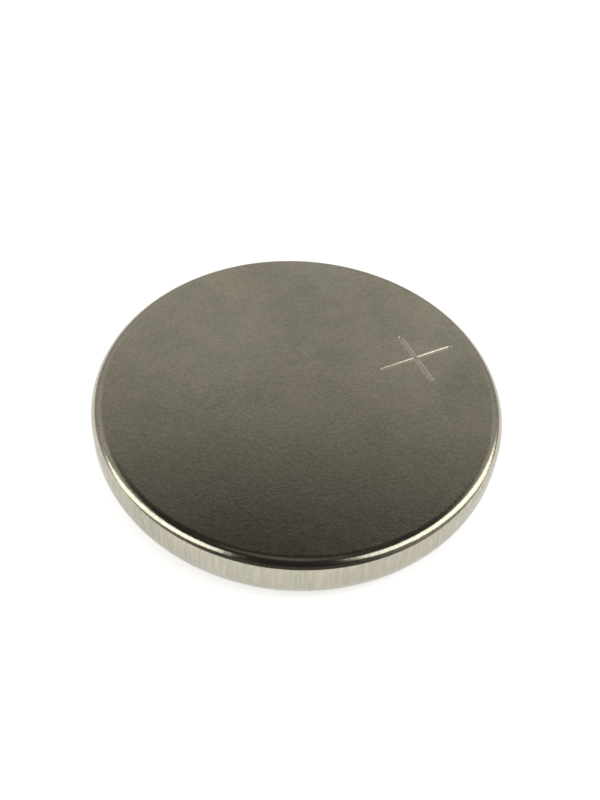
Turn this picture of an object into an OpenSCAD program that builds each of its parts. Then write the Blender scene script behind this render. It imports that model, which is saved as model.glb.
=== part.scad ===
// Lithium coin cell, lying on its negative cap.
// The origin is the centre of the cap's flat face, and +Z runs up the axis to the positive face.
// Can, gasket and cap are revolved sections that nest about one rolled rim,
// and the electrode stack fills the height that is left between the two metal faces.

/* [Cell] */
// Diameter over the side wall
cell_d = 20; // [16:0.1:24.5]
// Height from the negative face to the positive face
cell_h = 3.2; // [2.8:0.1:5]

/* [Positive can] */
// Sheet thickness of the can
can_t = 0.25; // [0.2:0.01:0.3]
// Outer radius of the shoulder round the positive face
can_shoulder_r = 0.6; // [0.35:0.05:0.7]
// Outer radius of the rim where it is rolled over the gasket
crimp_r = 2; // [1.6:0.1:2.2]
// How far the outer edge of the can's mouth lies in from the side wall
crimp_in = 0.8; // [0.7:0.05:0.9]

/* [Gasket] */
// Wall thickness of the moulded gasket
gasket_t = 0.3; // [0.25:0.01:0.32]
// Height by which the gasket's outer edge stops short of the rolled rim
gasket_recess = 0.04; // [0:0.01:0.1]
// Length of the inner lip, from the floor of its channel to its rounded tip
gasket_lip_h = 0.75; // [0.4:0.05:0.8]
// Gap between the inner lip and the cap's skirt
skirt_gap = 0.05; // [0.02:0.01:0.1]

/* [Negative cap] */
// Sheet thickness of the cap
cap_t = 0.25; // [0.2:0.01:0.3]
// Height by which the cap stands proud of the rolled rim
cap_proud = 0.3; // [0.25:0.05:0.5]
// Outer radius of the corner round the negative face
cap_corner_r = 0.4; // [0.35:0.01:0.45]

/* [Electrode stack] */
// Thickness of the lithium foil disc
anode_t = 0.6; // [0.3:0.05:0.8]
// Gap between the lithium disc and the wall of the cap
anode_gap = 0.65; // [0.4:0.05:1.5]
// Thickness of the non-woven separator
separator_t = 0.15; // [0.1:0.01:0.25]
// Height of the separator's turned-up rim above its floor
separator_rim_h = 1.1; // [0.5:0.05:1.3]
// Gap between the separator's rim and the wall of the cap
separator_gap = 0.4; // [0.2:0.05:1]
// Gap between the pressed pellet and the separator's rim
pellet_gap = 0.1; // [0.05:0.01:0.3]
// Radius of the pellet's pressed edges
pellet_edge_r = 0.15; // [0.05:0.05:0.4]

/* [Current collector] */
// Thickness of the stamped grid
collector_t = 0.1; // [0.05:0.01:0.2]
// Margin between the grid's rim and the edge of the pellet
collector_margin = 0.5; // [0.2:0.05:1.5]
// Width of the solid rim round the openings
collector_rim_w = 0.4; // [0.2:0.05:1]
// Distance from opening to opening along the long way of the diamonds
mesh_long = 2; // [1.6:0.1:3]
// Distance from opening to opening along the short way of the diamonds
mesh_short = 1.25; // [1.1:0.05:2]
// Width of the strands between the openings
strand_w = 0.25; // [0.1:0.01:0.35]

/* [Hidden] */

// Smoothness of the revolved shells and of the bends in their sections
turn_fn = 144;
bend_fn = 48;

// Rolled rim: its bends share one centre, and each layer lies inside the last
can_r = cell_d / 2;
crimp_turn = acos(1 - crimp_in / crimp_r);
rim_x = can_r - crimp_r;
rim_z = cap_proud + crimp_r * sin(crimp_turn);
rim_centre = [rim_x, rim_z];

// Inside of the can
can_floor_z = cell_h - can_t;
can_shoulder_x = can_r - can_shoulder_r;
can_shoulder_z = cell_h - can_shoulder_r;

// Cap: the skirt stands in the gasket's channel, and the shoulder sits under the rolled rim.
// The hollow bend back to the wall turns about the inner edge of the can's mouth.
skirt_r = can_r - can_t - gasket_t;
skirt_end_z = can_floor_z - gasket_t;
shoulder_r = crimp_r - can_t - gasket_t;
mouth = rim_centre + (crimp_r - can_t) * [cos(crimp_turn), -sin(crimp_turn)];
mouth_x = mouth[0];
mouth_z = mouth[1];
cap_r = mouth_x - gasket_t;
cap_inside_r = cap_r - cap_t;
corner_r = min(cap_corner_r, mouth_z);

// Inner lip of the gasket
lip_outer_r = skirt_r - cap_t - skirt_gap;
lip_inner_r = lip_outer_r - gasket_t;
lip_tip_r = gasket_t / 2;
lip_tip_z = skirt_end_z - gasket_lip_h;

// Stack, from the cap up to the can
anode_r = cap_inside_r - anode_gap;
separator_r = cap_inside_r - separator_gap;
separator_z = cap_t + anode_t;
pellet_r = separator_r - separator_t - pellet_gap;
pellet_z = separator_z + separator_t;
fold_inner_r = pellet_edge_r + pellet_gap;
fold_r = fold_inner_r + separator_t;
collector_r = pellet_r - collector_margin;
collector_z = can_floor_z - collector_t;
pellet_h = collector_z - pellet_z;

// Openings of the grid: half diagonals of a whole mesh, and of the hole that the strands leave in it
mesh_a = mesh_long / 2;
mesh_b = mesh_short / 2;
mesh_side = norm([mesh_a, mesh_b]);
hole_a = mesh_a - strand_w / 2 * mesh_side / mesh_b;
hole_b = mesh_b - strand_w / 2 * mesh_side / mesh_a;
open_r = collector_r - collector_rim_w;

// Straight run of a section, between two radii and two heights
module run(x0, x1, z0, z1) {
    polygon([[x0, z0], [x1, z0], [x1, z1], [x0, z1]]);
}

// Bend of a section: the part of a ring about a centre between two seams, each given by how far it runs from there.
// Two bends whose seams run from one centre to the other share that seam.
module bend(centre, inner, outer, from, to) {
    intersection() {
        translate(centre)
            difference() {
                circle(r = outer, $fn = bend_fn);
                if (inner > 0)
                    circle(r = inner, $fn = bend_fn);
            }
        polygon([centre, centre + from, centre + from + to, centre + to]);
    }
}

// Quarter turn of a section, towards the sides that the signs of x and z name
module quarter(centre, inner, outer, sx, sz) {
    bend(centre, inner, outer, [2 * sx * outer, 0], [0, 2 * sz * outer]);
}

// Drawn cup: flat face, shoulder, side wall, and the rim rolled in over the gasket
module positive_can() {
    color([0.62, 0.61, 0.57])
        rotate_extrude($fn = turn_fn) {
            run(0, can_shoulder_x, can_floor_z, cell_h);
            quarter([can_shoulder_x, can_shoulder_z], can_shoulder_r - can_t, can_shoulder_r, 1, 1);
            run(can_r - can_t, can_r, rim_z, can_shoulder_z);
            bend(rim_centre, crimp_r - can_t, crimp_r, 2 * (mouth - rim_centre), [2 * crimp_r, 0]);
        }
}

// Moulded ring: edge at the mouth, bend under the rolled rim, outer wall, channel floor and inner lip
module gasket() {
    color([0.80, 0.81, 0.78])
        rotate_extrude($fn = turn_fn) {
            run(cap_r, mouth_x, cap_proud + gasket_recess, mouth_z);
            bend(mouth, 0, gasket_t, rim_centre - mouth, [-2 * gasket_t, 0]);
            bend(rim_centre, shoulder_r, shoulder_r + gasket_t, mouth - rim_centre, [2 * crimp_r, 0]);
            run(skirt_r, skirt_r + gasket_t, rim_z, can_shoulder_z);
            difference() {
                union() {
                    run(lip_inner_r, can_shoulder_x, skirt_end_z, can_floor_z);
                    quarter([can_shoulder_x, can_shoulder_z], 0, can_shoulder_r - can_t, 1, 1);
                }
                run(lip_outer_r, skirt_r, can_shoulder_z - can_shoulder_r, skirt_end_z);
            }
            run(lip_inner_r, lip_outer_r, lip_tip_z + lip_tip_r, skirt_end_z);
            for (side = [-1, 1])
                quarter([lip_inner_r + lip_tip_r, lip_tip_z + lip_tip_r], 0, lip_tip_r, side, -1);
        }
}

// Drawn cap: flat face, corner, short wall, hollow bend out to the shoulder under the rolled rim, and skirt
module negative_cap() {
    color([0.72, 0.71, 0.68])
        rotate_extrude($fn = turn_fn) {
            run(0, cap_r - corner_r, 0, cap_t);
            quarter([cap_r - corner_r, corner_r], corner_r - cap_t, corner_r, 1, -1);
            if (mouth_z > corner_r)
                run(cap_inside_r, cap_r, corner_r, mouth_z);
            bend(mouth, gasket_t, gasket_t + cap_t, rim_centre - mouth, [-2 * (gasket_t + cap_t), 0]);
            bend(rim_centre, shoulder_r - cap_t, shoulder_r, mouth - rim_centre, [2 * crimp_r, 0]);
            run(skirt_r - cap_t, skirt_r, rim_z, skirt_end_z);
        }
}

// Disc punched from lithium foil and pressed on to the cap
module lithium_anode() {
    color([0.76, 0.77, 0.78])
        translate([0, 0, cap_t])
            cylinder(r = anode_r, h = anode_t, $fn = turn_fn);
}

// Shallow non-woven cup, folded up round the foot of the pellet
module separator() {
    color([0.93, 0.92, 0.88])
        rotate_extrude($fn = turn_fn) {
            run(0, separator_r - fold_r, separator_z, pellet_z);
            quarter([separator_r - fold_r, separator_z + fold_r], fold_inner_r, fold_r, 1, -1);
            run(separator_r - separator_t, separator_r, separator_z + fold_r, pellet_z + separator_rim_h);
        }
}

// Pressed manganese dioxide pellet with rounded edges
module cathode_pellet() {
    core_r = pellet_r - pellet_edge_r;
    top_z = pellet_z + pellet_h;
    color([0.13, 0.13, 0.14])
        rotate_extrude($fn = turn_fn) {
            run(0, core_r, pellet_z, top_z);
            run(core_r, pellet_r, pellet_z + pellet_edge_r, top_z - pellet_edge_r);
            quarter([core_r, pellet_z + pellet_edge_r], 0, pellet_edge_r, 1, -1);
            quarter([core_r, top_z - pellet_edge_r], 0, pellet_edge_r, 1, 1);
        }
}

// One diamond opening of the grid
module mesh_hole() {
    polygon([[-hole_a, 0], [0, -hole_b], [hole_a, 0], [0, hole_b]]);
}

// Stamped grid: staggered rows of diamonds inside a solid rim
module current_collector() {
    rows = floor(open_r / mesh_b);
    cols = ceil(open_r / mesh_long);
    color([0.66, 0.66, 0.64])
        translate([0, 0, collector_z])
            linear_extrude(collector_t)
                difference() {
                    circle(r = collector_r, $fn = turn_fn);
                    for (row = [-rows : rows], col = [-cols : cols]) {
                        x = col * mesh_long + (row % 2 == 0 ? 0 : mesh_a);
                        y = row * mesh_b;
                        reach = max(norm([abs(x) + hole_a, y]), norm([x, abs(y) + hole_b]));
                        if (reach < open_r)
                            translate([x, y])
                                mesh_hole();
                    }
                }
}

positive_can();
gasket();
negative_cap();
lithium_anode();
separator();
cathode_pellet();
current_collector();
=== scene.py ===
# Lithium coin cell on a pale photo stage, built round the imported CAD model.
# Can, cap and gasket are turned again with finer sections and broken edges, the can gets its stamped polarity cross,
# and the electrode stack keeps its CAD meshes and gets its materials.

import math

import bpy
from mathutils import Matrix, Quaternion, Vector


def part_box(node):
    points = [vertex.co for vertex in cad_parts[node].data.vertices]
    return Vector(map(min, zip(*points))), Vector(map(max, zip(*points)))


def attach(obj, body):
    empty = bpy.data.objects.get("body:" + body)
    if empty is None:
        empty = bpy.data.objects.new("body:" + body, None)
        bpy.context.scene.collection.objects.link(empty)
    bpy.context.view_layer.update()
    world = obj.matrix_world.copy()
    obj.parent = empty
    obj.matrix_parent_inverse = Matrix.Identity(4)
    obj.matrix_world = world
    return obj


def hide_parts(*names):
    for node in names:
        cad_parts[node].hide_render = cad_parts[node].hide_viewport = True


bl_info = {
    "name": "Lithium Coin Cell",
    "version": (1, 0, 0),
    "blender": (4, 5, 0),
    "location": "3D View > Sidebar > Coin Cell",
    "description": "Builds a lithium coin cell with its materials and a small photo stage",
    "category": "Add Mesh",
}

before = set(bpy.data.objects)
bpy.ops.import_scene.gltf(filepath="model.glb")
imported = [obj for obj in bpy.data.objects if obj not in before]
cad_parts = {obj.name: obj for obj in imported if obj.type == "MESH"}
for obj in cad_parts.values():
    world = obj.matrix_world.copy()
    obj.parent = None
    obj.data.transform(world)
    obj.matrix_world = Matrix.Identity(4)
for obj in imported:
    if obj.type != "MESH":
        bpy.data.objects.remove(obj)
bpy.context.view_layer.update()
CAN_LOW, CAN_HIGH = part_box("positive_can")
CAP_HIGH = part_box("negative_cap")[1]
BODY = "root"
# Attribute that is 1 on the faces of the stamped strokes
STRUCK = "struck"


def mm(value):
    """Metres from millimetres."""
    return value / 1000


def per_mm(size):
    """Texture scale at which one feature of the pattern is that many millimetres across."""
    return 1000 / size


def linear(code):
    """Linear colour from an sRGB hex code."""
    parts = [int(code[i : i + 2], 16) / 255 for i in (1, 3, 5)]
    return [c / 12.92 if c <= 0.04045 else ((c + 0.055) / 1.055) ** 2.4 for c in parts]


def feed(tree, node, inputs):
    """Give each of a node's named inputs a value or a link."""
    for name, value in inputs.items():
        socket = node.inputs[name]
        if isinstance(value, bpy.types.NodeSocket):
            tree.links.new(value, socket)
        else:
            socket.default_value = value


def add(tree, kind, inputs=None, **settings):
    """Add a node with its settings, and give each input a value or a link."""
    node = tree.nodes.new(kind)
    for name, value in settings.items():
        setattr(node, name, value)
    feed(tree, node, inputs or {})
    return node


def maths(tree, operation, *values, **settings):
    """Result of a sum on values or sockets."""
    return add(tree, "ShaderNodeMath", dict(enumerate(values)), operation=operation, **settings).outputs[0]


# Sizes and finishes that a user would change


def length(name, description, default, smallest=0.0):
    """Property that holds a length."""
    return bpy.props.FloatProperty(
        name=name,
        description=description,
        default=default,
        min=smallest,
        subtype="DISTANCE",
        unit="LENGTH",
        precision=5,
    )


def angle(name, description, degrees):
    """Property that holds an angle."""
    return bpy.props.FloatProperty(
        name=name, description=description, default=math.radians(degrees), subtype="ANGLE", unit="ROTATION"
    )


def colour(name, description, code):
    """Property that holds a colour, from its sRGB hex code."""
    return bpy.props.FloatVectorProperty(
        name=name, description=description, default=linear(code), size=3, min=0, max=1, subtype="COLOR"
    )


def share(name, description, default):
    """Property that holds a share from 0 to 1."""
    return bpy.props.FloatProperty(name=name, description=description, default=default, min=0, max=1, subtype="FACTOR")


class CoinCellSizes(bpy.types.PropertyGroup):
    """Sizes of the turned shells and of the stamped cross"""

    radius: length("Cell radius", "Radius over the side wall", CAN_HIGH.x)
    height: length("Cell height", "Height from the negative face to the positive face", CAN_HIGH.z)
    sheet: length("Sheet", "Thickness of the plated sheet of can and cap", mm(0.25))
    shoulder: length("Shoulder", "Outer radius round the positive face", mm(0.6))
    rim: length("Rolled rim", "Outer radius of the rim rolled over the gasket", mm(2))
    rim_in: length("Rim inset", "How far the mouth's outer edge lies in from the side wall", mm(0.8))
    proud: length("Cap height", "Height by which the cap stands proud of the rolled rim", CAN_LOW.z)
    wall: length("Gasket wall", "Wall thickness of the moulded gasket", mm(0.3))
    recess: length("Gasket recess", "Height by which the gasket's edge stops short of the rim", mm(0.04))
    lip: length("Gasket lip", "Length of the inner lip from the floor of its channel", mm(0.75))
    lip_gap: length("Lip gap", "Gap between the inner lip and the cap's skirt", mm(0.05))
    corner: length("Cap corner", "Outer radius round the negative face", mm(0.4))
    broken_edge: length("Broken edge", "Radius worn on the sheared edges of the sheet", mm(0.035))
    turns: bpy.props.IntProperty(
        name="Turning steps", description="Facets round the axis", default=288, min=32, max=512
    )
    cross_x: length("Cross right", "Place of the stamped cross across the face", mm(5.8), -1)
    cross_y: length("Cross back", "Place of the stamped cross up the face", mm(2.8), -1)
    cross_turn: angle("Cross turn", "Direction of the long stroke", 28.5)
    cross_long: length("Long stroke", "Length of the long stroke", mm(4.2))
    cross_short: length("Short stroke", "Length of the short stroke", mm(3.4))
    stroke: length("Stroke width", "Width of a stamped stroke at the face", mm(0.34))
    stroke_depth: length("Stroke depth", "Depth of a stamped stroke", mm(0.072))
    strike_tilt: share("Strike tilt", "Share of its depth that the long stroke loses towards its inner end", 0.62)


class CoinCellFinishes(bpy.types.PropertyGroup):
    """Colours and polish of the pieces"""

    nickel: colour("Nickel plate", "Colour of the plated sheet", "#D0CBBB")
    nickel_dull: colour("Dull nickel", "Colour of the plate where it has dulled", "#B2AD9D")
    nickel_roughness: share("Plate roughness", "Roughness of the plate on the flats", 0.18)
    struck_roughness: share("Struck roughness", "Roughness of the plate in the stamped strokes", 0.22)
    burnished_roughness: share("Burnished roughness", "Roughness of the plate on the drawn shoulder and walls", 0.13)
    polymer: colour("Gasket", "Colour of the natural polypropylene", "#DCDDD6")
    lithium: colour("Lithium", "Colour of the fresh foil", "#C9CBCC")
    lithium_film: colour("Lithium film", "Colour of the thin film that forms on the foil", "#8E9296")
    fleece: colour("Separator", "Colour of the non-woven fleece", "#F2F0E9")
    pellet: colour("Pellet", "Colour of the pressed powder", "#232325")
    grid: colour("Grid", "Colour of the stainless grid", "#B9B9B4")


class CoinCellStage(bpy.types.PropertyGroup):
    """Camera and lamps"""

    distance: length("Camera distance", "From the middle of the positive face to the lens", mm(50))
    elevation: angle("Camera elevation", "Height of the camera above the face", 48.1)
    roll: angle("Camera roll", "Turn of the camera about its own axis", 3.98)
    lens: bpy.props.FloatProperty(
        name="Lens",
        description="Focal length on a 36 mm sensor",
        default=46.26,
        min=1,
        subtype="DISTANCE_CAMERA",
        unit="CAMERA",
    )
    aim_right: length("Aim right", "How far right of the face's middle the camera looks", mm(0.073), -1)
    aim_down: length("Aim down", "How far below the face's middle the camera looks", mm(0.413), -1)
    lamp_radiance: bpy.props.FloatProperty(
        name="Lamp level", description="Brightness of the softboxes, where 1 is white", default=1.7, min=0
    )


# Sections of the turned shells, as points (distance from the axis, height)

# Degrees from point to point of an arc
BEND_STEP = 3.75
RIM_STEP = 2
NESTED_STEP = 2.5
INSIDE_STEP = 7.5
EDGE_STEP = 15
# Shares of a flat face's radius at which its section has a point
FLAT_SHARES = (0, 0.2, 0.4, 0.6, 0.8, 0.95, 0.995)
# Radius on the moulded edges of the gasket
MOULDED_EDGE = mm(0.06)


def arc(centre, radius, start, end, step=BEND_STEP):
    """Points of an arc from one angle to another, in degrees from the outward direction."""
    count = max(1, math.ceil(abs(end - start) / step))
    angles = [math.radians(start + (end - start) * i / count) for i in range(count + 1)]
    return [(centre[0] + radius * math.cos(a), centre[1] + radius * math.sin(a)) for a in angles]


def flat_face(radius, height):
    """Points of a flat face, from the axis outwards."""
    return [(radius * part, height) for part in FLAT_SHARES]


def sheared_end(centre, outer, inner, at, edge):
    """End of a bent sheet, cut square at an angle, from its outer radius to its inner one with both edges broken."""
    points = []
    for radius, turn in ((outer - edge, 0), (inner + edge, 90)):
        a = math.radians(at + math.degrees(edge / radius))
        corner = (centre[0] + radius * math.cos(a), centre[1] + radius * math.sin(a))
        points += arc(corner, edge, at - turn, at - turn - 90, EDGE_STEP)
    return points


def shell_values(s):
    """Turn of the rolled rim in degrees, its centre, and the inner edge of the can's mouth."""
    turn = math.degrees(math.acos(1 - s.rim_in / s.rim))
    rim_centre = (s.radius - s.rim, s.proud + s.rim * math.sin(math.radians(turn)))
    inside = s.rim - s.sheet
    mouth = (
        rim_centre[0] + inside * math.cos(math.radians(turn)),
        rim_centre[1] - inside * math.sin(math.radians(turn)),
    )
    return turn, rim_centre, mouth


def can_section(s):
    """Drawn cup, from the middle of the positive face round the rolled rim and back to the axis inside."""
    turn, rim_centre, _ = shell_values(s)
    shoulder = (s.radius - s.shoulder, s.height - s.shoulder)
    inner_rim = s.rim - s.sheet
    outer_stop = turn - math.degrees(s.broken_edge / s.rim)
    inner_stop = turn - math.degrees(s.broken_edge / inner_rim)
    points = flat_face(shoulder[0], s.height)
    points += arc(shoulder, s.shoulder, 90, 0)
    points += arc(rim_centre, s.rim, 0, -outer_stop, RIM_STEP)
    points += sheared_end(rim_centre, s.rim, inner_rim, -turn, s.broken_edge)
    points += arc(rim_centre, inner_rim, -inner_stop, 0, RIM_STEP)
    points += arc(shoulder, s.shoulder - s.sheet, 0, 90, INSIDE_STEP)
    points += reversed(flat_face(shoulder[0], s.height - s.sheet))
    return points


def cap_section(s):
    """Stepped cap, from the axis inside up to the edge of its skirt and back under to the negative face."""
    turn, rim_centre, mouth = shell_values(s)
    skirt, skirt_end = CAP_HIGH.x, CAP_HIGH.z
    outer = skirt - rim_centre[0]
    wall = mouth[0] - s.wall
    corner = (wall - s.corner, s.corner)
    edge = s.broken_edge
    points = flat_face(corner[0], s.sheet)
    points += arc(corner, s.corner - s.sheet, -90, 0, INSIDE_STEP)
    points += arc(mouth, s.wall + s.sheet, 180, 180 - turn)
    points += arc(rim_centre, outer - s.sheet, -turn, 0, NESTED_STEP)
    points += arc((skirt - s.sheet + edge, skirt_end - edge), edge, 180, 90, EDGE_STEP)
    points += arc((skirt - edge, skirt_end - edge), edge, 90, 0, EDGE_STEP)
    points += arc(rim_centre, outer, 0, -turn, NESTED_STEP)
    points += arc(mouth, s.wall, 180 - turn, 180)
    points += arc(corner, s.corner, 0, -90)
    points += reversed(flat_face(corner[0], 0))
    return points


def gasket_section(s):
    """Moulded ring, clockwise from the inner corner of its edge at the mouth."""
    turn, rim_centre, mouth = shell_values(s)
    skirt, channel = CAP_HIGH.x, CAP_HIGH.z
    outer = skirt + s.wall
    lip_out = skirt - s.sheet - s.lip_gap
    lip_in = lip_out - s.wall
    tip = s.wall / 2
    low = s.proud + s.recess
    edge = MOULDED_EDGE
    points = arc((mouth[0] - s.wall + edge, low + edge), edge, 270, 180, EDGE_STEP)
    points += arc(mouth, s.wall, 180, 180 - turn)
    points += arc(rim_centre, skirt - rim_centre[0], -turn, 0, NESTED_STEP)
    points += [(skirt, channel), (lip_out, channel)]
    points += arc((lip_in + tip, channel - s.lip + tip), tip, 360, 180, EDGE_STEP)
    points += [(lip_in, s.height - s.sheet)]
    points += arc((s.radius - s.shoulder, s.height - s.shoulder), s.shoulder - s.sheet, 90, 0, INSIDE_STEP)
    points += arc(rim_centre, outer - rim_centre[0], 0, -turn, NESTED_STEP)
    points += arc((mouth[0] - edge, low + edge), edge, 0, -90, EDGE_STEP)
    return points


# Geometry Nodes trees

# Edges that bend more than this are shown sharp
CREASE_ANGLE = math.radians(32)
# Radius of the circle that a section is swept round, and how near points have to be for the weld at the axis
HUB_RADIUS = mm(1)
WELD_DISTANCE = mm(0.0001)
# Height of the strokes' cutters above the face
LIFT = mm(0.001)
# Points across a stroke's section and along the stroke
ACROSS_STROKE = 25
ALONG_STROKE = 121
# A little over 1, so that the ends of the strokes keep a blunt tip
BLUNT = 1.02


def geometry_tree(name, inputs):
    """Tree with a geometry going in and out and its named inputs. Gives the tree, its given sockets and its end."""
    tree = bpy.data.node_groups.new(name, "GeometryNodeTree")
    tree.interface.new_socket("Geometry", in_out="OUTPUT", socket_type="NodeSocketGeometry")
    tree.interface.new_socket("Geometry", in_out="INPUT", socket_type="NodeSocketGeometry")
    for label, kind, value in inputs:
        socket = tree.interface.new_socket(label, in_out="INPUT", socket_type="NodeSocket" + kind)
        if value is not None:
            socket.default_value = value
    return tree, tree.nodes.new("NodeGroupInput").outputs, tree.nodes.new("NodeGroupOutput")


def finish_tree(tree, geometry, material, out, crease=None):
    """End a tree: sharpen its steep edges and any crease that is given, then Realize Instances and Set Material."""
    bend = add(tree, "GeometryNodeInputMeshEdgeAngle").outputs["Unsigned Angle"]
    sharp = add(tree, "FunctionNodeCompare", {"A": bend, "B": CREASE_ANGLE}, operation="GREATER_THAN").outputs[0]
    if crease is not None:
        sharp = add(tree, "FunctionNodeBooleanMath", {0: sharp, 1: crease}, operation="OR").outputs[0]
    creased = add(
        tree,
        "GeometryNodeSetShadeSmooth",
        {"Geometry": geometry, "Selection": sharp, "Shade Smooth": False},
        domain="EDGE",
    )
    real = add(tree, "GeometryNodeRealizeInstances", {"Geometry": creased.outputs[0]})
    painted = add(tree, "GeometryNodeSetMaterial", {"Geometry": real.outputs[0], "Material": material})
    tree.links.new(painted.outputs[0], out.inputs[0])


def turned_shell_tree():
    """Revolve a section that lies in the XZ plane about the Z axis."""
    tree, given, out = geometry_tree(
        "Turned shell",
        [
            ("Turning steps", "Int", 288),
            ("Hub radius", "Float", HUB_RADIUS),
            ("Weld distance", "Float", WELD_DISTANCE),
            ("Material", "Material", None),
        ],
    )
    curve = add(tree, "GeometryNodeMeshToCurve", {"Mesh": given["Geometry"]})
    circle = {"Resolution": given["Turning steps"], "Radius": given["Hub radius"]}
    hub = add(tree, "GeometryNodeCurvePrimitiveCircle", circle)
    shift = add(tree, "ShaderNodeCombineXYZ", {"X": maths(tree, "MULTIPLY", given["Hub radius"], -1.0)})
    # A profile's Y runs down the axis on this hub, so the section is laid over into the XY plane
    laid = add(
        tree,
        "GeometryNodeTransform",
        {"Geometry": curve.outputs[0], "Translation": shift.outputs[0], "Rotation": (math.radians(90), 0, 0)},
    )
    turned = add(tree, "GeometryNodeCurveToMesh", {"Curve": hub.outputs[0], "Profile Curve": laid.outputs[0]})
    weld = {"Geometry": turned.outputs[0], "Distance": given["Weld distance"]}
    welded = add(tree, "GeometryNodeMergeByDistance", weld)
    finish_tree(tree, welded.outputs[0], given["Material"], out)
    return tree


def stamped_cross_tree():
    """Press two crossing strokes into a face. Each has a soft hollow section and round ends."""
    tree, given, out = geometry_tree(
        "Stamped cross",
        [
            ("Centre", "Vector", None),
            ("Turn", "Float", 0.0),
            ("Long stroke", "Float", mm(4.2)),
            ("Short stroke", "Float", mm(3.4)),
            ("Stroke width", "Float", mm(0.34)),
            ("Stroke depth", "Float", mm(0.072)),
            ("Strike tilt", "Float", 0.62),
            ("Lift", "Float", LIFT),
            ("Material", "Material", None),
        ],
    )
    # Section of a stroke: one wave of a cosine, from just above the face down to the depth and back
    half = maths(tree, "MULTIPLY", given["Stroke width"], 0.5)
    right = add(tree, "ShaderNodeCombineXYZ", {"X": half})
    left = add(tree, "ShaderNodeCombineXYZ", {"X": maths(tree, "MULTIPLY", half, -1.0)})
    across = add(tree, "GeometryNodeCurvePrimitiveLine", {"Start": right.outputs[0], "End": left.outputs[0]})
    dots = add(tree, "GeometryNodeResampleCurve", {"Curve": across.outputs[0], "Count": ACROSS_STROKE})
    share_across = add(tree, "GeometryNodeSplineParameter").outputs["Factor"]
    wave = maths(tree, "COSINE", maths(tree, "MULTIPLY", share_across, 2 * math.pi))
    hollow = maths(tree, "MULTIPLY_ADD", wave, -0.5, 0.5)
    drop = maths(tree, "ADD", given["Stroke depth"], given["Lift"])
    below = maths(tree, "SUBTRACT", maths(tree, "MULTIPLY", hollow, drop), given["Lift"])
    offset = add(tree, "ShaderNodeCombineXYZ", {"Y": below})
    pressed = add(tree, "GeometryNodeSetPosition", {"Geometry": dots.outputs[0], "Offset": offset.outputs[0]})
    section = add(tree, "GeometryNodeSetSplineCyclic", {"Geometry": pressed.outputs[0], "Cyclic": True})
    turn = add(tree, "ShaderNodeCombineXYZ", {"Z": given["Turn"]})
    turn_across = add(tree, "ShaderNodeCombineXYZ", {"Z": maths(tree, "ADD", given["Turn"], math.pi / 2)})
    # The punch stood a little askew, so the long stroke's inner end is raised
    raised = maths(tree, "MULTIPLY", given["Stroke depth"], given["Strike tilt"])
    cutters = []
    for stroke, rotation, start_height in (("Long stroke", turn, raised), ("Short stroke", turn_across, 0.0)):
        reach = maths(tree, "MULTIPLY", given[stroke], 0.5)
        start = add(tree, "ShaderNodeCombineXYZ", {"X": maths(tree, "MULTIPLY", reach, -1.0), "Z": start_height})
        end = add(tree, "ShaderNodeCombineXYZ", {"X": reach})
        line = add(tree, "GeometryNodeCurvePrimitiveLine", {"Start": start.outputs[0], "End": end.outputs[0]})
        points = add(tree, "GeometryNodeResampleCurve", {"Curve": line.outputs[0], "Count": ALONG_STROKE})
        placed = add(
            tree,
            "GeometryNodeTransform",
            {"Geometry": points.outputs[0], "Translation": given["Centre"], "Rotation": rotation.outputs[0]},
        )
        # Each end tapers as a quarter circle over half the stroke's width
        along = add(tree, "GeometryNodeSplineParameter").outputs["Length"]
        rest = maths(tree, "SUBTRACT", given[stroke], along)
        part = maths(tree, "DIVIDE", maths(tree, "MINIMUM", along, rest), half, use_clamp=True)
        missing = maths(tree, "SUBTRACT", 1.0, part)
        size = maths(tree, "SQRT", maths(tree, "SUBTRACT", BLUNT, maths(tree, "MULTIPLY", missing, missing)))
        swept = add(
            tree,
            "GeometryNodeCurveToMesh",
            {"Curve": placed.outputs[0], "Profile Curve": section.outputs[0], "Scale": size, "Fill Caps": True},
        )
        marked = add(
            tree,
            "GeometryNodeStoreNamedAttribute",
            {"Geometry": swept.outputs[0], "Name": STRUCK, "Value": 1.0},
            data_type="FLOAT",
            domain="FACE",
        )
        cutters.append(marked.outputs[0])
    cut = add(tree, "GeometryNodeMeshBoolean", {"Mesh 1": given["Geometry"]}, operation="DIFFERENCE", solver="EXACT")
    for cutter in cutters:
        tree.links.new(cutter, cut.inputs["Mesh 2"])
    finish_tree(tree, cut.outputs[0], given["Material"], out, cut.outputs["Intersecting Edges"])
    return tree


def socket_name(tree, label):
    """Identifier of a tree's named input."""
    inputs = (i for i in tree.interface.items_tree if i.item_type == "SOCKET" and i.in_out == "INPUT")
    return next(i.identifier for i in inputs if i.name == label)


def set_tree(obj, tree, values):
    """Put a tree on an object with its inputs set."""
    modifier = obj.modifiers.new(tree.name, "NODES")
    modifier.node_group = tree
    for label, value in values.items():
        modifier[socket_name(tree, label)] = value


def plain_mesh(obj):
    """Turn an object's modifiers into its own plain mesh, shaded smooth between its sharp edges."""
    bpy.context.view_layer.update()
    evaluated = obj.evaluated_get(bpy.context.evaluated_depsgraph_get())
    mesh = bpy.data.meshes.new_from_object(evaluated)
    obj.modifiers.clear()
    obj.data = mesh
    mesh.name = obj.name
    mesh.polygons.foreach_set("use_smooth", [True] * len(mesh.polygons))
    return obj


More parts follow.
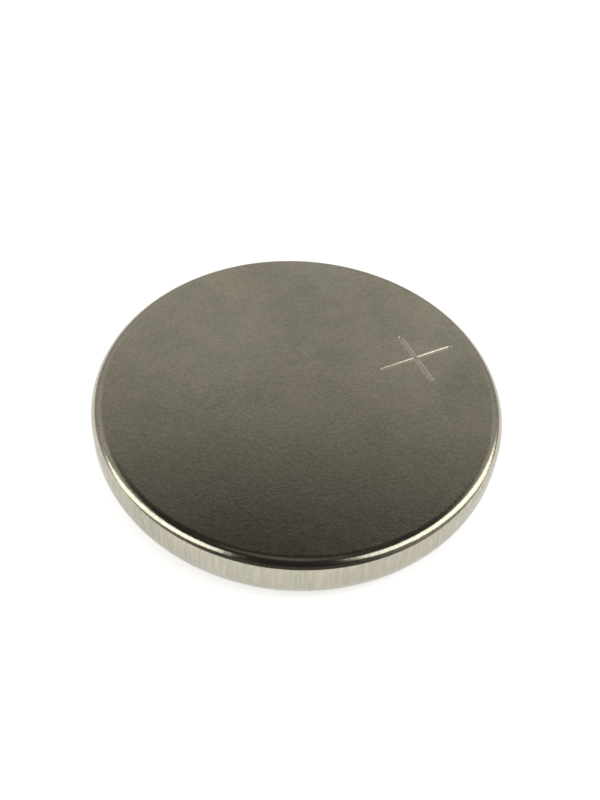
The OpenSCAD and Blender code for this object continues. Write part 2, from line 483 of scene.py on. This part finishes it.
def turned_piece(name, section, closed, turns, material, extra=()):
    """Piece turned from a section, with any further trees run on it before it becomes a plain mesh."""
    count = len(section)
    edges = [(i, i + 1) for i in range(count - 1)] + ([(count - 1, 0)] if closed else [])
    mesh = bpy.data.meshes.new(name)
    mesh.from_pydata([(x, 0, z) for x, z in section], edges, [])
    piece = bpy.data.objects.new(name, mesh)
    bpy.context.scene.collection.objects.link(piece)
    shell = {"Turning steps": turns, "Hub radius": HUB_RADIUS, "Weld distance": WELD_DISTANCE, "Material": material}
    for tree, values in ((turned_shell_tree(), shell), *extra):
        set_tree(piece, tree, values)
    return plain_mesh(piece)


def hand_over(piece, node):
    """Let a piece ride on the body and hide the CAD node that it stands in for."""
    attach(piece, BODY)
    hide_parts(node)


# Materials

# Warm and cool tones that the plate's colour is multiplied by
WARM = (1.02, 0.99, 0.975, 1)
COOL = (0.985, 1.0, 0.98, 1)
# Metallic value of the plate in the stamped strokes
STRUCK_METALLIC = 0.7
# How much rougher the plate is in a scratch
SCRATCH_ROUGHNESS = 0.08


def mix(tree, factor, first, second, kind="FLOAT", blend_type="MIX"):
    """Mix of two numbers, or of two colours where the kind is RGBA."""
    inputs = {"Factor": factor, "A": first, "B": second}
    return add(tree, "ShaderNodeMix", inputs, data_type=kind, blend_type=blend_type).outputs["Result"]


def ranged(tree, value, low, high, to_low=0.0, to_high=1.0, **settings):
    """Value carried from one range over to another, and held there."""
    inputs = {"Value": value, "From Min": low, "From Max": high, "To Min": to_low, "To Max": to_high}
    return add(tree, "ShaderNodeMapRange", inputs, **settings).outputs[0]


def noise(tree, vector, size, detail, roughness=0.5):
    """Noise with features that many millimetres across."""
    inputs = {"Vector": vector, "Scale": per_mm(size), "Detail": detail, "Roughness": roughness}
    return add(tree, "ShaderNodeTexNoise", inputs).outputs["Fac"]


def streaks(tree, vector, turns, size, low, high, detail=0.0, lean=(0, 0)):
    """Streaks of a size that cross at several turns. They show where their noise passes from low to high."""
    crossed = None
    for turn in turns:
        inputs = {"Vector": vector, "Rotation": (*lean, turn), "Scale": size}
        turned = add(tree, "ShaderNodeMapping", inputs, vector_type="TEXTURE").outputs[0]
        streak = add(tree, "ShaderNodeTexNoise", {"Vector": turned, "Scale": 1.0, "Detail": detail}).outputs["Fac"]
        peak = ranged(tree, streak, low, high)
        crossed = peak if crossed is None else maths(tree, "MAXIMUM", crossed, peak)
    return crossed


def bump(tree, height, distance, normal=None, **settings):
    """Normal of a surface with relief of that height, on top of another normal where one is given."""
    inputs = {"Height": height, "Strength": 1.0, "Distance": distance}
    if normal is not None:
        inputs["Normal"] = normal
    return add(tree, "ShaderNodeBump", inputs, **settings).outputs[0]


def new_material(name, base, metallic, roughness):
    """Material with one Principled shader. Gives the material, its tree, the shader and the texture coordinates."""
    material = bpy.data.materials.new(name)
    material.use_nodes = True
    tree = material.node_tree
    shader = tree.nodes["Principled BSDF"]
    feed(tree, shader, {"Base Color": (*base, 1), "Metallic": metallic, "Roughness": roughness})
    return material, tree, shader, add(tree, "ShaderNodeTexCoord").outputs


def nickel_plate(finishes):
    """Nickel-plated steel sheet, cold rolled, plated and then drawn.

    The plate gives a satin mirror with a fine pebbled grain. The die burnishes the shoulder and the walls and pulls
    their grain into upright lines, and handling leaves fine scratches and a few duller patches on the flats."""
    satin = finishes.nickel_roughness
    material, tree, shader, place = new_material("nickel_plated_steel", finishes.nickel, 1.0, satin)
    drawn = add(tree, "ShaderNodeMapping", {"Vector": place["Object"], "Scale": (1, 1, 0.06)}).outputs[0]
    # Pebbled grain of the plate, 0.13 mm
    grain = noise(tree, drawn, 0.13, 5.0, 0.7)
    # Slow rise and fall left by the rolls, 1.6 mm
    swell = noise(tree, drawn, 1.6, 2.0)
    # Patches where the plate has dulled, 4.5 mm
    cloud = noise(tree, place["Object"], 4.5, 4.0, 0.62)
    # Crystals of the plate, drawn 0.12 mm across so that they show, sparkle a little within the patches
    speckle = noise(tree, drawn, 0.12, 2.0)
    dull = ranged(tree, maths(tree, "MULTIPLY_ADD", speckle, 1.3, cloud), 0.75, 1.55)
    tint = mix(tree, dull, (*finishes.nickel, 1), (*finishes.nickel_dull, 1), "RGBA")
    # Faint warm and cool tones of the plate, 2.2 mm
    lean = ranged(tree, noise(tree, place["Object"], 2.2, 3.0, 0.7), 0.38, 0.62)
    shown = mix(tree, 1.0, tint, mix(tree, lean, WARM, COOL, "RGBA"), "RGBA", "MULTIPLY")
    # Flats keep the plate's own polish, with soft patches, and the drawn surfaces are burnished
    upright = add(tree, "ShaderNodeSeparateXYZ", {0: place["Normal"]}).outputs["Z"]
    flat = ranged(tree, maths(tree, "ABSOLUTE", upright), 0.93, 0.995, interpolation_type="SMOOTHSTEP")
    patch = ranged(tree, cloud, 0.3, 0.7, satin - 0.03, satin + 0.05)
    smooth = mix(tree, flat, finishes.burnished_roughness, patch)
    # The punch leaves its strokes a little matt
    struck = add(tree, "ShaderNodeAttribute", attribute_name=STRUCK).outputs["Fac"]
    metallic = ranged(tree, struck, 0.0, 1.0, 1.0, STRUCK_METALLIC)
    polish = mix(tree, struck, smooth, finishes.struck_roughness)
    # Handling scratches, drawn 0.045 mm wide so that they show, and about 3 mm long
    scratch = (mm(3), mm(0.045), mm(1))
    scratches = streaks(tree, place["Object"], (0.5, 1.9, 2.7), scratch, 0.78, 0.88)
    on_flats = maths(tree, "MULTIPLY", scratches, flat)
    rough = maths(tree, "MULTIPLY_ADD", on_flats, SCRATCH_ROUGHNESS, polish)
    pebbled = bump(tree, grain, mm(0.0045), bump(tree, swell, mm(0.004)))
    scratched = bump(tree, on_flats, mm(0.0006), pebbled, invert=True)
    feed(tree, shader, {"Base Color": shown, "Metallic": metallic, "Roughness": rough, "Normal": scratched})
    return material


def moulded_polypropylene(finishes):
    """Natural polypropylene, injection moulded: milky, slightly clear at its edges, with a soft sheen."""
    material, tree, shader, place = new_material("moulded_polypropylene", finishes.polymer, 0.0, 0.42)
    feed(tree, shader, {"IOR": 1.49, "Subsurface Weight": 0.35, "Subsurface Scale": mm(0.25)})
    # Skin of the moulding, 0.3 mm
    skin = noise(tree, place["Object"], 0.3, 2.0)
    feed(tree, shader, {"Subsurface Radius": (1.0, 0.95, 0.85), "Normal": bump(tree, skin, mm(0.003))})
    return material


def rolled_lithium(finishes):
    """Lithium foil, rolled and punched: a soft dull metal with roll lines and a thin greyish film."""
    material, tree, shader, place = new_material("rolled_lithium", finishes.lithium, 1.0, 0.42)
    # Roll lines, 0.15 mm apart
    rolled = add(tree, "ShaderNodeMapping", {"Vector": place["Object"], "Scale": (0.04, 1, 1)}).outputs[0]
    lines = noise(tree, rolled, 0.15, 4.0)
    # Patches of the film, 3 mm
    cloud = noise(tree, place["Object"], 3, 5.0)
    film = ranged(tree, cloud, 0.45, 0.75)
    tint = mix(tree, film, (*finishes.lithium, 1), (*finishes.lithium_film, 1), "RGBA")
    rough = ranged(tree, cloud, 0.3, 0.75, 0.36, 0.58)
    feed(tree, shader, {"Base Color": tint, "Roughness": rough, "Normal": bump(tree, lines, mm(0.006))})
    return material


def fleece(finishes):
    """Non-woven polypropylene fleece: pressed fibres that cross at all angles."""
    material, tree, shader, place = new_material("polypropylene_fleece", finishes.fleece, 0.0, 0.85)
    # Fibres 0.03 mm thick, drawn 0.05 mm so that they show
    fibre = (mm(0.8), mm(0.05), mm(0.05))
    web = streaks(tree, place["Object"], (0.2, 1.0, 1.75, 2.6), fibre, 0.5, 0.7, detail=1.0, lean=(0.3, 0.2))
    # Painted shade: the gaps between the fibres are drawn darker, as shade in the hollows of the web
    shaded_gaps = [c * 0.72 for c in finishes.fleece]
    tint = mix(tree, web, (*shaded_gaps, 1), (*finishes.fleece, 1), "RGBA")
    feed(tree, shader, {"Base Color": tint, "Sheen Weight": 0.25, "Normal": bump(tree, web, mm(0.012))})
    return material


def pressed_powder(finishes):
    """Manganese dioxide pressed with graphite: matt black, granular, with a few glinting flakes."""
    material, tree, shader, place = new_material("pressed_powder", finishes.pellet, 0.0, 0.7)
    # Granules, 0.12 mm, of a powder, 0.06 mm
    granules = {"Vector": place["Object"], "Scale": per_mm(0.12), "Randomness": 1.0}
    grit = add(tree, "ShaderNodeTexVoronoi", granules).outputs
    fine = noise(tree, place["Object"], 0.06, 4.0)
    pale = [c * 1.9 for c in finishes.pellet]
    tint = mix(tree, fine, (*finishes.pellet, 1), (*pale, 1), "RGBA")
    rough = ranged(tree, grit["Color"], 0.0, 0.2, 0.35, 0.75)
    rise = maths(tree, "ADD", grit["Distance"], fine)
    feed(tree, shader, {"Base Color": tint, "Roughness": rough, "Normal": bump(tree, rise, mm(0.012))})
    return material


def stamped_stainless(finishes):
    """Stainless steel strip, bright rolled and stamped into a grid: fine lines along the strip."""
    material, tree, shader, place = new_material("stamped_stainless", finishes.grid, 1.0, 0.28)
    # Roll lines, drawn 0.06 mm apart so that they show
    rolled = add(tree, "ShaderNodeMapping", {"Vector": place["Object"], "Scale": (0.03, 1, 1)}).outputs[0]
    lines = noise(tree, rolled, 0.06, 3.0)
    rough = ranged(tree, lines, 0.3, 0.7, 0.22, 0.36)
    feed(tree, shader, {"Roughness": rough, "Normal": bump(tree, lines, mm(0.002))})
    return material


def shared_material(name, make):
    """The material of that name, made once."""
    return bpy.data.materials.get(name) or make(bpy.context.scene.coin_cell_finishes)


# Photo stage

# Floor: half its side, its drop below the cell, its paint, and its glow to the camera and in mirrors
FLOOR_HALF = 1.5
FLOOR_DROP = mm(0.02)
FLOOR_PAINT = 0.86
FLOOR_SEEN = 0.45
FLOOR_MIRRORED = 0.17
# Levels of the room at heights from 0, the horizon, to 1, straight up: behind the cell and on the camera's side
ROOM_TOP = ((0.972, 0.05), (0.985, 0.14), (1.0, 0.15))
ROOM_BEHIND = (
    *((0.0, 0.5), (0.06, 0.37), (0.45, 0.37), (0.65, 0.5), (0.765, 0.31), (0.8, 0.085), (0.83, 0.02), (0.95, 0.03)),
    *ROOM_TOP,
)
ROOM_FRONT = (
    *((0.0, 0.3), (0.03, 0.06), (0.1, 0.035), (0.18, 0.08), (0.42, 0.08), (0.52, 0.025), (0.8, 0.025), (0.95, 0.035)),
    *ROOM_TOP,
)
ROOM_TINT = (1, 0.985, 0.93)
# Light that diffuse surfaces get from every side
EVEN_LIGHT = 0.7
# Azimuth, elevation and tilt of each softbox in degrees, then its distance, width and height in metres
SOFTBOXES = {
    "softbox_left": (202, 32, 34, 0.3, 0.34, 0.15),
    "softbox_right": (356, 38, -41, 0.3, 0.40, 0.15),
}
# In millimetres, as the lens is
SENSOR_WIDTH = 36


def lay_floor():
    """Pale floor that shows white and keeps the cell's shadow. It is one-sided, so the underside can be looked at."""
    mesh = bpy.data.meshes.new("floor")
    corners = ((-1, -1), (1, -1), (1, 1), (-1, 1))
    mesh.from_pydata([(x * FLOOR_HALF, y * FLOOR_HALF, -FLOOR_DROP) for x, y in corners], [], [(0, 1, 2, 3)])
    floor = bpy.data.objects.new("floor", mesh)
    bpy.context.scene.collection.objects.link(floor)
    material = bpy.data.materials.new("pale_floor")
    material.use_nodes = True
    tree = material.node_tree
    tree.nodes.clear()
    path = add(tree, "ShaderNodeLightPath").outputs
    seen = maths(tree, "MULTIPLY", path["Is Camera Ray"], FLOOR_SEEN)
    mirrored = maths(tree, "MAXIMUM", path["Is Glossy Ray"], path["Is Transmission Ray"])
    glow_level = maths(tree, "MULTIPLY_ADD", mirrored, FLOOR_MIRRORED, seen)
    paint = add(tree, "ShaderNodeBsdfDiffuse", {"Color": (FLOOR_PAINT, FLOOR_PAINT, FLOOR_PAINT, 1)})
    glow = add(tree, "ShaderNodeEmission", {"Color": (1, 1, 1, 1), "Strength": glow_level})
    both = add(tree, "ShaderNodeAddShader", {0: paint.outputs[0], 1: glow.outputs[0]})
    beneath = add(tree, "ShaderNodeNewGeometry").outputs["Backfacing"]
    clear = add(tree, "ShaderNodeBsdfTransparent")
    one_sided = add(tree, "ShaderNodeMixShader", {0: beneath, 1: both.outputs[0], 2: clear.outputs[0]})
    add(tree, "ShaderNodeOutputMaterial", {"Surface": one_sided.outputs[0]})
    material.cycles.emission_sampling = "NONE"
    mesh.materials.append(material)


def room_ramp(tree, height, levels):
    """Colour of the room at a height, from its levels."""
    ramp = add(tree, "ShaderNodeValToRGB", {0: height})
    elements = ramp.color_ramp.elements
    while len(elements) > 1:
        elements.remove(elements[-1])
    for i, (at, level) in enumerate(levels):
        stop = elements[0] if i == 0 else elements.new(at)
        stop.position = at
        stop.color = (*(level * tint for tint in ROOM_TINT), 1)
    return ramp.outputs[0]


def make_world():
    """Dim studio: a grey wall behind the cell, palest near its top, a dark ceiling, and a dark side by the camera."""
    world = bpy.data.worlds.new("dim_studio")
    world.cycles.sampling_method = "NONE"
    bpy.context.scene.world = world
    world.use_nodes = True
    tree = world.node_tree
    tree.nodes.clear()
    place = add(tree, "ShaderNodeTexCoord")
    way = add(tree, "ShaderNodeSeparateXYZ", {0: place.outputs["Generated"]}).outputs
    behind = room_ramp(tree, way["Z"], ROOM_BEHIND)
    front = room_ramp(tree, way["Z"], ROOM_FRONT)
    # The room grows lighter from the camera's side round to the wall behind the cell
    round_room = maths(tree, "MULTIPLY_ADD", maths(tree, "ABSOLUTE", way["X"]), 0.5, way["Y"])
    toward = ranged(tree, round_room, -0.6, 0.3, interpolation_type="SMOOTHSTEP")
    sky = mix(tree, toward, front, behind, "RGBA")
    # Metal mirrors the dim room, and diffuse surfaces get an even light at which colours render as they are written
    diffuse = add(tree, "ShaderNodeLightPath").outputs["Is Diffuse Ray"]
    lit = mix(tree, diffuse, sky, (EVEN_LIGHT, EVEN_LIGHT, EVEN_LIGHT, 1), "RGBA")
    light = add(tree, "ShaderNodeBackground", {"Color": lit, "Strength": 1.0})
    add(tree, "ShaderNodeOutputWorld", {"Surface": light.outputs[0]})


def hang_softbox(name, azimuth, elevation, tilt, distance, width, height, radiance):
    """Area lamp that faces the cell. Azimuth runs from +X towards +Y, and tilt turns the lamp's long side."""
    lamp = bpy.data.lights.new(name, "AREA")
    lamp.shape = "RECTANGLE"
    lamp.size, lamp.size_y = width, height
    lamp.energy = radiance * math.pi * width * height
    holder = bpy.data.objects.new(name, lamp)
    bpy.context.scene.collection.objects.link(holder)
    a, e = math.radians(azimuth), math.radians(elevation)
    back = Vector((math.cos(a) * math.cos(e), math.sin(a) * math.cos(e), math.sin(e)))
    holder.location = back * distance
    holder.rotation_euler = (back.to_track_quat("Z", "Y") @ Quaternion((0, 0, 1), math.radians(tilt))).to_euler()


def aim_camera(stage, face_height):
    """Camera in front of and above the cell, turned a little about its own axis."""
    face = Vector((0, 0, face_height))
    back = Vector((0, -math.cos(stage.elevation), math.sin(stage.elevation)))
    level = Vector((1, 0, 0))
    rise = back.cross(level)
    right = math.cos(stage.roll) * level + math.sin(stage.roll) * rise
    up = math.cos(stage.roll) * rise - math.sin(stage.roll) * level
    eye = face + back * stage.distance
    aim = face + right * stage.aim_right - up * stage.aim_down
    z = (eye - aim).normalized()
    y = (up - up.dot(z) * z).normalized()
    x = y.cross(z)
    data = bpy.data.cameras.new("camera")
    data.lens = stage.lens
    data.sensor_width = SENSOR_WIDTH
    data.clip_start = mm(1)
    data.clip_end = 10
    camera = bpy.data.objects.new("camera", data)
    camera.matrix_world = Matrix.Translation(eye) @ Matrix((x, y, z)).transposed().to_4x4()
    bpy.context.scene.collection.objects.link(camera)
    bpy.context.scene.camera = camera


# Operators


class COINCELL_OT_stage(bpy.types.Operator):
    """Lay the floor, set the world, hang the lamps and aim the camera"""

    bl_idname = "coincell.stage"
    bl_label = "Photo Stage"

    def execute(self, context):
        stage = context.scene.coin_cell_stage
        lay_floor()
        make_world()
        for name, place in SOFTBOXES.items():
            hang_softbox(name, *place, stage.lamp_radiance)
        aim_camera(stage, context.scene.coin_cell_sizes.height)
        context.scene.view_settings.view_transform = "Standard"
        return {"FINISHED"}


class COINCELL_OT_positive_can(bpy.types.Operator):
    """Turn the plated can and stamp its polarity cross"""

    bl_idname = "coincell.positive_can"
    bl_label = "Positive Can"

    def execute(self, context):
        s = context.scene.coin_cell_sizes
        material = shared_material("nickel_plated_steel", nickel_plate)
        cross = {
            "Centre": (s.cross_x, s.cross_y, s.height),
            "Turn": s.cross_turn,
            "Long stroke": s.cross_long,
            "Short stroke": s.cross_short,
            "Stroke width": s.stroke,
            "Stroke depth": s.stroke_depth,
            "Strike tilt": s.strike_tilt,
            "Lift": LIFT,
            "Material": material,
        }
        can = turned_piece("plated_can", can_section(s), False, s.turns, material, [(stamped_cross_tree(), cross)])
        hand_over(can, "positive_can")
        return {"FINISHED"}


class COINCELL_OT_gasket(bpy.types.Operator):
    """Turn the moulded gasket"""

    bl_idname = "coincell.gasket"
    bl_label = "Gasket"

    def execute(self, context):
        s = context.scene.coin_cell_sizes
        material = shared_material("moulded_polypropylene", moulded_polypropylene)
        ring = turned_piece("moulded_gasket", gasket_section(s), True, s.turns, material)
        hand_over(ring, "gasket")
        return {"FINISHED"}


class COINCELL_OT_negative_cap(bpy.types.Operator):
    """Turn the stepped cap"""

    bl_idname = "coincell.negative_cap"
    bl_label = "Negative Cap"

    def execute(self, context):
        s = context.scene.coin_cell_sizes
        material = shared_material("nickel_plated_steel", nickel_plate)
        cap = turned_piece("plated_cap", cap_section(s), False, s.turns, material)
        hand_over(cap, "negative_cap")
        return {"FINISHED"}


class COINCELL_OT_electrode_stack(bpy.types.Operator):
    """Give the sealed-in electrode stack its materials"""

    bl_idname = "coincell.electrode_stack"
    bl_label = "Electrode Stack"

    def execute(self, context):
        materials = {
            "lithium_anode": ("rolled_lithium", rolled_lithium),
            "separator": ("polypropylene_fleece", fleece),
            "cathode_pellet": ("pressed_powder", pressed_powder),
            "current_collector": ("stamped_stainless", stamped_stainless),
        }
        for node, (name, make) in materials.items():
            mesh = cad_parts[node].data
            mesh.materials.clear()
            mesh.materials.append(shared_material(name, make))
        return {"FINISHED"}


class COINCELL_PT_parts(bpy.types.Panel):
    """Lists the cell's pieces in the 3D view's sidebar"""

    bl_label = "Coin Cell"
    bl_space_type = "VIEW_3D"
    bl_region_type = "UI"
    bl_category = "Coin Cell"

    def draw(self, context):
        for operator in OPERATORS:
            self.layout.operator(operator.bl_idname)
        for group in (getattr(context.scene, name) for name in GROUPS):
            for name in group.bl_rna.properties.keys():
                if name not in {"rna_type", "name"}:
                    self.layout.prop(group, name)


GROUPS = {"coin_cell_sizes": CoinCellSizes, "coin_cell_finishes": CoinCellFinishes, "coin_cell_stage": CoinCellStage}
OPERATORS = (
    COINCELL_OT_stage,
    COINCELL_OT_positive_can,
    COINCELL_OT_gasket,
    COINCELL_OT_negative_cap,
    COINCELL_OT_electrode_stack,
)


def register():
    for name, group in GROUPS.items():
        bpy.utils.register_class(group)
        setattr(bpy.types.Scene, name, bpy.props.PointerProperty(type=group))
    for cls in (*OPERATORS, COINCELL_PT_parts):
        bpy.utils.register_class(cls)


def unregister():
    for cls in reversed((*OPERATORS, COINCELL_PT_parts)):
        bpy.utils.unregister_class(cls)
    for name, group in GROUPS.items():
        delattr(bpy.types.Scene, name)
        bpy.utils.unregister_class(group)


def main():
    register()
    bpy.ops.coincell.stage()
    bpy.ops.coincell.positive_can()
    bpy.ops.coincell.gasket()
    bpy.ops.coincell.negative_cap()
    bpy.ops.coincell.electrode_stack()


if __name__ == "__main__":
    main()
